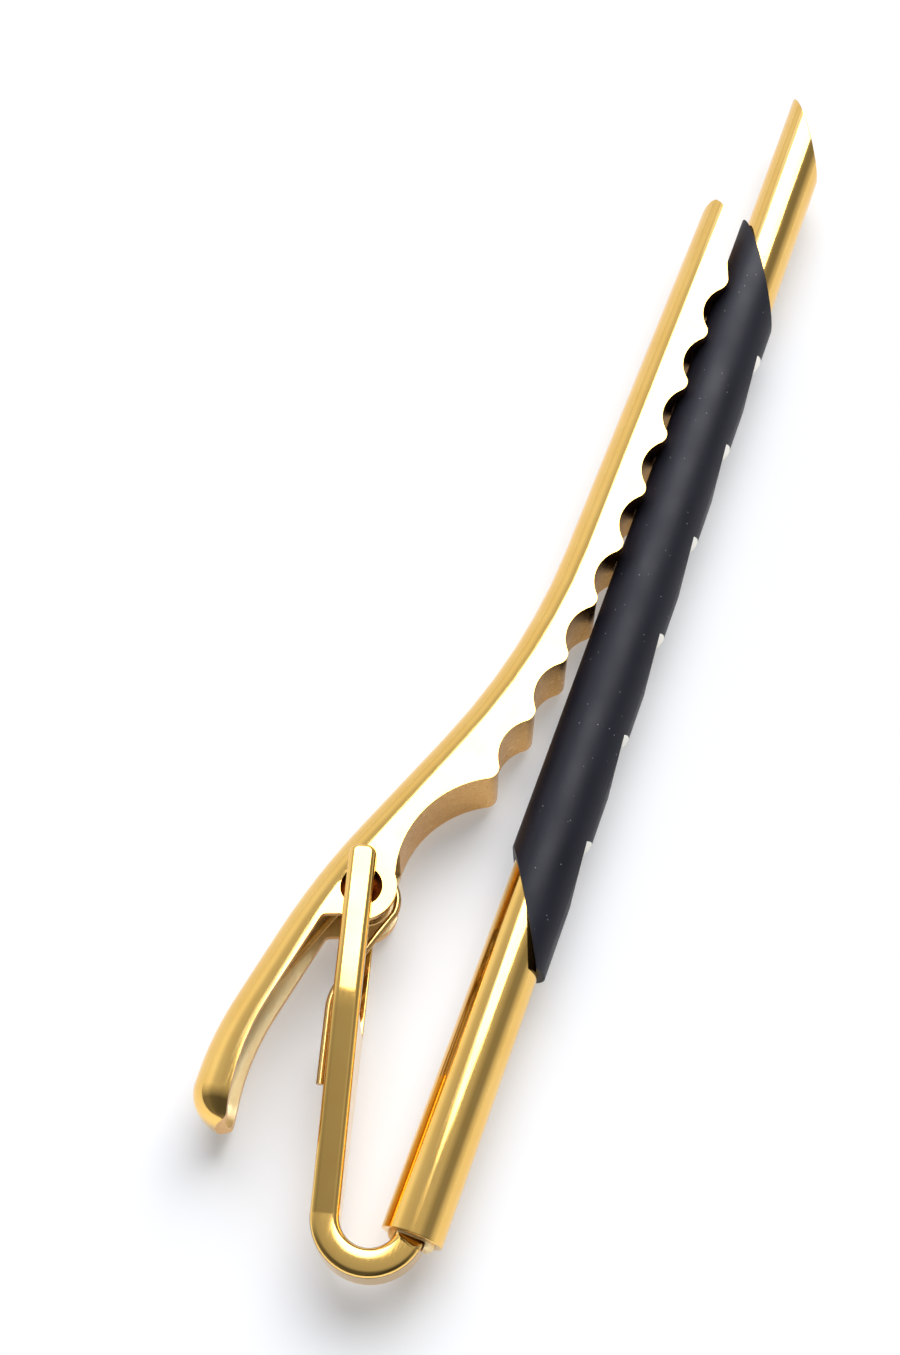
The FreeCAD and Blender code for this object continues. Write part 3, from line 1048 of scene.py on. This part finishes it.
@dataclass
class HairpinArm:
    """The flat strip: a tongue in the bar, a hairpin bend, and a widening leg that ends in a fork."""

    lever: JawLever
    thickness: float = 1.1
    width: float = 1.9
    bend_radius: float = 1.69
    bend_place: float = 0.1
    leg_offset: float = 0.06
    tongue_width: float = 1.1
    tongue_length: float = 4.2
    solder_gap: float = 0.03
    shoulder: float = 0.12
    fork_reach: float = 4.3
    slot_reach: float = 5.2
    fork_clearance: float = 0.06
    prong_thickness: float = 0.5
    prong_tip_reach: float = 1.6
    pin_diameter: float = 0.9
    pin_seat: float = 0.3
    bend_step: float = 2.5
    tip_round: float = 0.4
    side_round: float = 0.26
    slot_round: float = 0.06
    round_segments: int = 6
    slot_segments: int = 2
    column_share: float = 0.8

    @property
    def fork_inside(self) -> float:
        """Return half the gap between the fork's prongs."""
        return self.lever.half_width(PIVOT.x) + self.fork_clearance

    @property
    def fork_outside(self) -> float:
        """Return half the width over the fork's prongs."""
        return self.fork_inside + self.prong_thickness

    @property
    def bend_centre(self) -> Vector:
        """Return the middle of the hairpin bend."""
        return Vector((self.bend_place, self.bend_radius, 0.0))

    @property
    def leg_angle(self) -> float:
        """Work out the leg's slope, which leads the strip's middle just past the hinge.

        Returns:
            The slope, in degrees.
        """
        reach = PIVOT - self.bend_centre
        lean = math.acos((self.bend_radius - self.leg_offset) / reach.length)
        return math.degrees(math.atan2(reach.y, reach.x) + lean) - 90.0

    @property
    def leg_along(self) -> Vector:
        """Return the leg's direction."""
        return polar(Vector(), 1.0, self.leg_angle)

    @property
    def leg_outward(self) -> Vector:
        """Return the direction out of the leg's outer face."""
        return polar(Vector(), 1.0, self.leg_angle + 90.0)

    @property
    def leg_start(self) -> Vector:
        """Return where the bend ends and the leg starts."""
        return polar(self.bend_centre, self.bend_radius, self.leg_angle + 90.0)

    @property
    def leg_length(self) -> float:
        """Return the length of the leg up to the hinge."""
        return (PIVOT - self.leg_start).dot(self.leg_along)

    @property
    def tongue_run(self) -> float:
        """Return the length of the tongue before the bend starts."""
        return self.tongue_length - self.bend_place

    @property
    def bend_run(self) -> float:
        """Return the length of the bend along the strip's middle."""
        return self.bend_radius * math.radians(180.0 - self.leg_angle)

    def rows(self) -> list[tuple[float, float, float]]:
        """Lay out the rows of the flat blank.

        Returns:
            Each row's place along the strip, its half width and that of its inner columns.
        """
        half = self.width / 2.0
        shoulder = self.tongue_run + self.bend_place + self.solder_gap
        bend_end = self.tongue_run + self.bend_run
        steps = math.ceil((180.0 - self.leg_angle) / self.bend_step)
        turned = [self.tongue_run + self.bend_run * index / steps for index in range(1, steps + 1)]
        slot_end = self.leg_length - self.slot_reach
        fork_place = self.leg_length - self.fork_reach
        widened = half + (self.fork_outside - half) * slot_end / fork_place
        tongue = self.tongue_width / 2.0
        plan = [(0.0, tongue), (shoulder, tongue)]
        plan += [(place, half) for place in turned if place > shoulder + self.shoulder]
        rows = [(place, wide, wide * self.column_share) for place, wide in plan]
        tip = self.leg_length + self.prong_tip_reach
        fork = [(slot_end, widened), (fork_place, self.fork_outside), (tip, self.fork_outside)]
        rows += [(bend_end + place, wide, self.fork_inside) for place, wide in fork]
        return rows

    def flat_blank(self) -> BMesh:
        """Make the strip before it is bent, with rounded edges.

        Returns:
            The closed strip, with X along it and Y through its thickness.
        """
        bm = bmesh.new()
        rows = self.rows()
        slot_row = len(rows) - 2
        place, wide, inner = rows[0]
        row = [bm.verts.new((place, 0.0, height)) for height in (-wide, -inner, inner, wide)]
        edges = [bm.edges.new(pair) for pair in zip(row, row[1:])]
        for index, (place, wide, inner) in enumerate(rows[1:], start=1):
            if index == slot_row:
                edges = [edges[0], edges[2]]
            grown = bmesh.ops.extrude_edge_only(bm, edges=edges)
            verts = sorted(new_verts(grown), key=lambda vert: vert.co.z)
            edges = [item for item in grown["geom"] if isinstance(item, BMEdge)]
            for vert, height in zip(verts, (-wide, -inner, inner, wide)):
                vert.co = (place, 0.0, height)
            edges.sort(key=lambda edge: edge.verts[0].co.z + edge.verts[1].co.z)
        upper = new_verts(bmesh.ops.extrude_face_region(bm, geom=bm.faces[:]))
        bmesh.ops.translate(bm, verts=bm.verts[:], vec=Y_AXIS * (-self.thickness / 2.0))
        bmesh.ops.translate(bm, verts=upper, vec=Y_AXIS * self.thickness)
        bmesh.ops.recalc_face_normals(bm, faces=bm.faces[:])
        tip = rows[-1][0]
        widened = self.tongue_run + self.bend_place + self.solder_gap + self.shoulder

        def at_tip(edge: BMEdge) -> bool:
            """Say whether an edge runs across the end of a prong."""
            ends = [vert.co for vert in edge.verts]
            return min(ends[0].x, ends[1].x) > tip - FINE and abs(ends[0].y - ends[1].y) < FINE

        def past_shoulder(edge: BMEdge) -> bool:
            """Say whether an edge lies past the tongue."""
            return min(vert.co.x for vert in edge.verts) > widened

        def outside(edge: BMEdge) -> bool:
            """Say whether an edge bounds an outer side of the strip."""
            sides = [face for face in edge.link_faces if abs(face.normal.z) > FACING]
            return past_shoulder(edge) and any(s.normal.z * s.calc_center_median().z > 0.0 for s in sides)

        round_edges(bm, self.tip_round, CORNER_TURN, self.round_segments, at_tip)
        round_edges(bm, self.side_round, CORNER_TURN, self.round_segments, outside)
        round_edges(bm, self.slot_round, CORNER_TURN, self.slot_segments, past_shoulder)
        return bm

    def bent(self, flat: Vector) -> Vector:
        """Return where a point of the flat blank goes when the strip is bent.

        Args:
            flat: The point, with X along the strip and Y towards the outside of the bend.

        Returns:
            The point in the maker's frame.
        """
        past_tongue = flat.x - self.tongue_run
        past_bend = past_tongue - self.bend_run
        if past_tongue <= 0.0:
            return Vector((self.tongue_length - flat.x, -flat.y, flat.z))
        if past_bend <= 0.0:
            angle = 270.0 - math.degrees(past_tongue / self.bend_radius)
            return polar(self.bend_centre, self.bend_radius + flat.y, angle) + Z_AXIS * flat.z
        return self.on_leg(past_bend, flat.y, flat.z)

    def on_leg(self, along: float, outward: float, height: float = 0.0) -> Vector:
        """Return a point given along the leg and outward from the middle of its strip."""
        return self.leg_start + self.leg_along * along + self.leg_outward * outward + Z_AXIS * height

    def bent_blank(self) -> BMesh:
        """Bend the strip.

        Returns:
            The closed strip, before the pin's seats are drilled.
        """
        bm = self.flat_blank()
        for vert in bm.verts:
            vert.co = self.bent(vert.co)
        bmesh.ops.remove_doubles(bm, verts=bm.verts[:], dist=FINE)
        bmesh.ops.recalc_face_normals(bm, faces=bm.faces[:])
        return bm

    def build(self, finishes: Finishes) -> Object:
        """Shape and dress the arm.

        Args:
            finishes: The materials that the pieces share.

        Returns:
            The finished piece.
        """
        bm = self.bent_blank()
        seats = bmesh.new()
        half = self.fork_inside + self.pin_seat
        upright_cone(seats, self.pin_diameter / 2.0, self.pin_diameter / 2.0, -half, half)
        bm = combined(bm, seats)
        piece = make_piece("hairpin_strip", bm, [finishes.gold])
        keep_flats_flat(piece)
        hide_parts("hairpin_arm")
        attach(piece, Body.FRAME.value)
        return piece


@dataclass
class TorsionSpring:
    """The wound wire: a leg on the arm, a coil round the pin, and a leg under the tail."""

    arm: HairpinArm
    lever: JawLever
    wire: float = 0.3
    coil_radius: float = 1.47
    inner_radius: float = 0.8
    closing_turns: float = 0.55
    coil_drop: float = 0.15
    turn_gap: float = 0.46
    full_turns: int = 2
    seat_gap: float = 0.02
    arm_leg_rest: float = 3.6
    leg_bend: float = 0.6
    slot_gap: float = 0.3
    jaw_leg_inset: float = 6.25
    jaw_leg_gap: float = 0.15
    points_per_turn: int = 60
    wire_resolution: int = 4

    @property
    def centre(self) -> Vector:
        """Return the middle of the coil, which hangs a little below the hinge."""
        return PIVOT - Y_AXIS * self.coil_drop

    def arm_leg_corner(self) -> Vector:
        """Find where the leg on the arm bends towards the coil.

        Returns:
            The corner, in the middle plane.
        """
        seat = self.arm.thickness / 2.0 + self.wire / 2.0 + self.seat_gap
        reach = self.arm.slot_reach - self.leg_bend - self.slot_gap
        return self.arm.on_leg(self.arm.leg_length - reach, seat)

    def jaw_leg_tip(self) -> Vector:
        """Find where the leg under the tail ends.

        Returns:
            The end, in the middle plane.
        """
        lever = self.lever
        reach = lever.tail_reach - self.jaw_leg_inset
        bow_back = lever.tail_reach - lever.bow_inset
        share = (reach + lever.shoulder_reach) / (bow_back + lever.shoulder_reach)
        back = lever.shoulder_rise + share * (lever.bow_rise - lever.shoulder_rise)
        return lever.from_pivot(-reach, back - lever.sheet - self.wire / 2.0 - self.jaw_leg_gap)

    def middle_line(self) -> list[Vector]:
        """Lead the wire from the leg on the arm through the coil to the leg under the tail.

        Returns:
            Points along the wire's middle.
        """
        bend, tip = self.arm_leg_corner(), self.jaw_leg_tip()
        to_coil, from_coil = self.centre - bend, tip - self.centre
        lean = math.asin(self.coil_radius / to_coil.length)
        first = math.degrees(math.atan2(to_coil.y, to_coil.x) - lean) - 90.0
        swing = math.acos(self.inner_radius / from_coil.length)
        last = math.degrees(math.atan2(from_coil.y, from_coil.x) - swing) + 360.0 * self.full_turns
        turns = (last - first) / 360.0
        entry = polar(self.centre, self.coil_radius, first)
        half_turn = (-self.arm.leg_along).angle(entry - bend) / 2.0
        leg = rounded_run([
            (bend - self.arm.leg_along * self.arm_leg_rest, 0.0),
            (bend, self.leg_bend * math.tan(half_turn)),
            (entry, 0.0),
        ])
        top = turns * (self.wire + self.turn_gap) / 2.0
        points = [point + Z_AXIS * top for point in leg]
        steps = math.ceil(turns * self.points_per_turn)
        for index in range(1, steps + 1):
            share = index / steps
            open_share = max(0.0, 1.0 - share * turns / self.closing_turns)
            radius = self.inner_radius + (self.coil_radius - self.inner_radius) * open_share ** 2
            height = Z_AXIS * (top * (1.0 - 2.0 * share))
            points.append(polar(self.centre, radius, first + share * (last - first)) + height)
        points.append(tip - Z_AXIS * top)
        return points

    def build(self, finishes: Finishes) -> Object:
        """Shape and dress the spring, which twists between the arm and the lever.

        Args:
            finishes: The materials that the pieces share.

        Returns:
            The finished piece.
        """
        line = self.middle_line()
        curve = bpy.data.curves.new("wire", "CURVE")
        curve.dimensions = "3D"
        curve.bevel_depth = self.wire / 2.0
        curve.bevel_resolution = self.wire_resolution
        curve.use_fill_caps = True
        spline = curve.splines.new("POLY")
        spline.points.add(len(line) - 1)
        for point, place in zip(spline.points, line):
            point.co = (*place, 1.0)
        obj = bpy.data.objects.new("work", curve)
        bpy.context.scene.collection.objects.link(obj)
        bm = applied(obj)
        bmesh.ops.remove_doubles(bm, verts=bm.verts[:], dist=FINE)
        bmesh.ops.recalc_face_normals(bm, faces=bm.faces[:])
        piece = make_piece("wound_spring", bm, [finishes.wire], CORNER_TURN)
        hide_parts("torsion_spring")
        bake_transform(piece)
        return piece


@dataclass
class SolderFill:
    """The solder in the bar's socket, which stands out as a round bead where the tongue goes in."""

    bar: FrontBar
    arm: HairpinArm
    fit: float = 0.01
    bead_height: float = 0.3
    bead_round: float = 0.24
    bead_segments: int = 6
    bend_allowance: float = 0.06
    facets: int = 96

    def slot(self, start: float, end: float, width: float) -> BMesh:
        """Make the room that the strip takes in the solder.

        Args:
            start: Where it begins along X.
            end: Where it ends along X.
            width: Its width.

        Returns:
            The closed mesh.
        """
        low = -self.arm.thickness / 2.0 - self.arm.solder_gap
        high = self.arm.thickness / 2.0 + self.bend_allowance
        bm = bmesh.new()
        corners = [Vector((x, y, 0.0)) for x, y in ((start, low), (end, low), (end, high), (start, high))]
        prism(bm, corners, -width / 2.0, width / 2.0)
        return bm

    def build(self, finishes: Finishes) -> Object:
        """Shape and dress the solder.

        Args:
            finishes: The materials that the pieces share.

        Returns:
            The finished piece.
        """
        radius = self.bar.socket_diameter / 2.0 - self.fit
        bm = round_bar(radius, -self.bead_height, self.arm.tongue_length, self.facets)

        def at_front(edge: BMEdge) -> bool:
            """Say whether an edge bounds the front of the bead."""
            return max(vert.co.x for vert in edge.verts) < 0.0

        round_edges(bm, self.bead_round, CORNER_TURN, self.bead_segments, at_front)
        bmesh.ops.recalc_face_normals(bm, faces=bm.faces[:])
        room = self.arm.tongue_width + 2.0 * self.arm.solder_gap
        tongue = self.slot(-self.arm.shoulder, self.arm.tongue_length + OVERRUN, room)
        bm = combined(bm, tongue)
        strip = self.slot(-self.bead_height - OVERRUN, -self.arm.shoulder / 2.0, 2.0 * self.bar.diameter)
        bm = combined(bm, strip)
        piece = make_piece("solder_bead", bm, [finishes.solder])
        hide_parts("solder_fill")
        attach(piece, Body.FRAME.value)
        return piece


@dataclass
class HingePin:
    """The plain pin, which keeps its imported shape."""

    node: str = "hinge_pin"

    def dress(self, finishes: Finishes) -> None:
        """Give the pin its material.

        Args:
            finishes: The materials that the pieces share.
        """
        node = frame["nodes"][self.node]
        node.data.materials.clear()
        node.data.materials.append(finishes.gold)
        LOG.info("%s: dressed", self.node)


@dataclass(frozen=True)
class SoftBox:
    """A studio lamp that looks at the clip. One that isn't mirrored doesn't show in polished metal."""

    name: str
    azimuth: float
    elevation: float
    distance: float
    width: float
    height: float
    radiance: float
    tint: tuple[float, float, float] = (1.0, 1.0, 1.0)
    shape: LampShape = LampShape.BOX
    mirrored: bool = True

    def make(self, target: Vector) -> None:
        """Hang the lamp.

        Args:
            target: What it looks at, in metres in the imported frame.
        """
        light = bpy.data.lights.new(self.name, "AREA")
        light.shape = self.shape.value
        light.size = self.width
        light.size_y = self.height
        light.color = self.tint
        light.energy = self.radiance * math.pi * self.width * self.height
        turn, tilt = math.radians(self.azimuth), math.radians(self.elevation)
        back = Vector((math.cos(turn) * math.cos(tilt), math.sin(turn) * math.cos(tilt), math.sin(tilt)))
        obj = bpy.data.objects.new(self.name, light)
        obj.visible_glossy = self.mirrored
        bpy.context.scene.collection.objects.link(obj)
        rotation = (-back).to_track_quat("-Z", "Y").to_matrix().to_4x4()
        obj.matrix_world = Matrix.Translation(target + back * self.distance) @ rotation


@dataclass
class Studio:
    """The camera at the photograph's angle, a white table, soft boxes and a pale room."""

    camera_at: Vector = field(default_factory=lambda: Vector((-12.496, -5.878, 77.879)))
    picture_middle: Vector = field(default_factory=lambda: Vector((22.418, 6.495, 0.0)))
    above_middle: Vector = field(default_factory=lambda: Vector((57.612, 19.094, 0.0)))
    focal_share: float = 1.50054
    film_height: float = 36.0
    sight_end: float = 10.0
    floor_size: float = 3.0
    floor_colour: str = "#FAFBFC"
    floor_roughness: float = 0.5
    floor_white_share: float = 0.3
    shadow_reach: tuple[float, float] = (0.1, 0.4)
    table_room_share: float = 0.5
    room_tint: tuple[float, float, float] = (0.97, 0.99, 1.02)
    panels: tuple[tuple[float, float], ...] = (
        (-90.0, 0.95),
        (-76.0, 0.7),
        (-60.0, 0.3),
        (-40.0, 0.3),
        (-18.0, 0.6),
        (18.0, 0.5),
        (50.0, 0.7),
        (66.0, 1.1),
        (74.0, 1.1),
        (90.0, 0.95),
    )
    near_end_level: float = 0.2
    near_end: tuple[float, float] = (-0.45, 0.1)
    far_end_level: float = 0.85
    far_end: tuple[float, float] = (0.65, 0.25)
    lamps: tuple[SoftBox, ...] = (
        SoftBox("far_lamp", 9.0, 50.5, 0.6, width=0.58, height=0.66, radiance=4.0, shape=LampShape.OVAL),
        SoftBox("blue_box", 22.0, 46.0, 0.64, width=0.46, height=0.56, radiance=0.45, tint=(1.0, 1.3, 2.2)),
        SoftBox("table_lamp", -25.0, 42.0, 0.6, width=0.3, height=0.3, radiance=2.4, mirrored=False),
    )

    def camera(self) -> None:
        """Place the camera."""
        data = bpy.data.cameras.new("camera")
        data.sensor_fit = "VERTICAL"
        data.sensor_height = self.film_height
        data.lens = self.focal_share * self.film_height
        data.clip_start = MM
        data.clip_end = self.sight_end
        obj = bpy.data.objects.new("camera", data)
        bpy.context.scene.collection.objects.link(obj)
        forward = (self.picture_middle - self.camera_at).normalized()
        right = forward.cross(self.above_middle - self.camera_at).normalized()
        up = right.cross(forward)
        turn = Matrix((right, up, -forward)).transposed().to_4x4()
        obj.matrix_world = Matrix.Translation(TO_FRAME @ self.camera_at) @ turn
        bpy.context.scene.camera = obj

    def floor(self) -> None:
        """Lay the white table, which the camera and reflections see as white outside the shadow."""
        material, tree = new_material("matt_white_table")
        matt = {"Color": linear(self.floor_colour), "Roughness": self.floor_roughness}
        lit = add_node(tree, "ShaderNodeBsdfDiffuse", matt)
        white = add_node(tree, "ShaderNodeEmission", {"Strength": 1.0})
        rays = add_node(tree, "ShaderNodeLightPath").outputs
        seen = rays["Is Camera Ray"]
        for kind in ("Is Glossy Ray", "Is Transmission Ray"):
            either = add_node(tree, "ShaderNodeMath", links={0: seen, 1: rays[kind]}, operation="MAXIMUM")
            seen = either.outputs[0]
        place = add_node(tree, "ShaderNodeTexCoord").outputs["Object"]
        reach = add_node(tree, "ShaderNodeVectorMath", links={0: place}, operation="LENGTH")
        fade = mapped(self.shadow_reach, (self.floor_white_share, 1.0))
        whiter = add_node(tree, "ShaderNodeMapRange", fade, {"Value": reach.outputs["Value"]})
        factors = {0: seen, 1: whiter.outputs["Result"]}
        share = add_node(tree, "ShaderNodeMath", links=factors, operation="MULTIPLY")
        feeds = {0: share.outputs[0], 1: lit.outputs["BSDF"], 2: white.outputs["Emission"]}
        shader = add_node(tree, "ShaderNodeMixShader", links=feeds)
        add_node(tree, "ShaderNodeOutputMaterial", links={"Surface": shader.outputs["Shader"]})
        bm = bmesh.new()
        bmesh.ops.create_grid(bm, x_segments=1, y_segments=1, size=self.floor_size / 2.0)
        obj = mesh_object("table", bm, [material])

    def room(self) -> None:
        """Light the room: pale panels round the bar's direction, and a darker end behind the camera."""
        world = bpy.data.worlds.new("studio")
        world.use_nodes = True
        tree = world.node_tree
        tree.nodes.clear()
        place = add_node(tree, "ShaderNodeTexCoord").outputs["Generated"]
        parts = add_node(tree, "ShaderNodeSeparateXYZ", links={0: place}).outputs
        sides = {0: parts["Y"], 1: parts["Z"]}
        angle_round_bar = add_node(tree, "ShaderNodeMath", links=sides, operation="ARCTAN2").outputs[0]
        first, last = self.panels[0][0], self.panels[-1][0]
        sweep = mapped((math.radians(first), math.radians(last)), (0.0, 1.0))
        swept = add_node(tree, "ShaderNodeMapRange", sweep, {"Value": angle_round_bar})
        ramp = add_node(tree, "ShaderNodeValToRGB", links={"Fac": swept.outputs["Result"]})
        stops = [((angle - first) / (last - first), level) for angle, level in self.panels]
        for place_share, _ in stops[1:-1]:
            ramp.color_ramp.elements.new(place_share)
        for element, (_, level) in zip(ramp.color_ramp.elements, stops):
            element.color = (*(level * channel for channel in self.room_tint), 1.0)
        darker = mapped(self.near_end, (self.near_end_level, 1.0))
        near = add_node(tree, "ShaderNodeMapRange", darker, {"Value": parts["X"]})
        ends = {"Value": parts["X"], "To Max": near.outputs["Result"]}
        along = add_node(tree, "ShaderNodeMapRange", mapped(self.far_end, (self.far_end_level, 1.0)), ends)
        rays = add_node(tree, "ShaderNodeLightPath").outputs
        mirrored = {0: rays["Is Camera Ray"], 1: rays["Is Glossy Ray"]}
        seen = add_node(tree, "ShaderNodeMath", links=mirrored, operation="MAXIMUM")
        table_light = {"To Min": self.table_room_share}
        dim = add_node(tree, "ShaderNodeMapRange", table_light, {"Value": seen.outputs[0]})
        factors = {0: along.outputs["Result"], 1: dim.outputs["Result"]}
        strength = add_node(tree, "ShaderNodeMath", links=factors, operation="MULTIPLY")
        lit = {"Color": ramp.outputs["Color"], "Strength": strength.outputs[0]}
        light = add_node(tree, "ShaderNodeBackground", links=lit)
        white = add_node(tree, "ShaderNodeBackground", {"Color": linear("#FFFFFF")})
        feeds = {0: rays["Is Camera Ray"], 1: light.outputs["Background"], 2: white.outputs["Background"]}
        shader = add_node(tree, "ShaderNodeMixShader", links=feeds)
        add_node(tree, "ShaderNodeOutputWorld", links={"Surface": shader.outputs["Shader"]})
        bpy.context.scene.world = world

    def build(self) -> None:
        """Set up the camera, the table and the light."""
        bpy.context.scene.view_settings.view_transform = "Standard"
        self.camera()
        self.floor()
        self.room()
        target = TO_FRAME @ self.picture_middle
        for lamp in self.lamps:
            lamp.make(target)


def main() -> None:
    """Build the clip's pieces, dress the pin and set up the studio."""
    logging.basicConfig(level=logging.INFO, format="%(name)s %(message)s")
    finishes = Finishes()
    bar = FrontBar()
    lever = JawLever()
    arm = HairpinArm(lever)
    bar.build(finishes)
    BlackSleeve(bar).build(finishes)
    lever.build(finishes)
    arm.build(finishes)
    SolderFill(bar, arm).build(finishes)
    TorsionSpring(arm, lever).build(finishes)
    HingePin().dress(finishes)
    Studio().build()


if __name__ == "__main__":
    main()
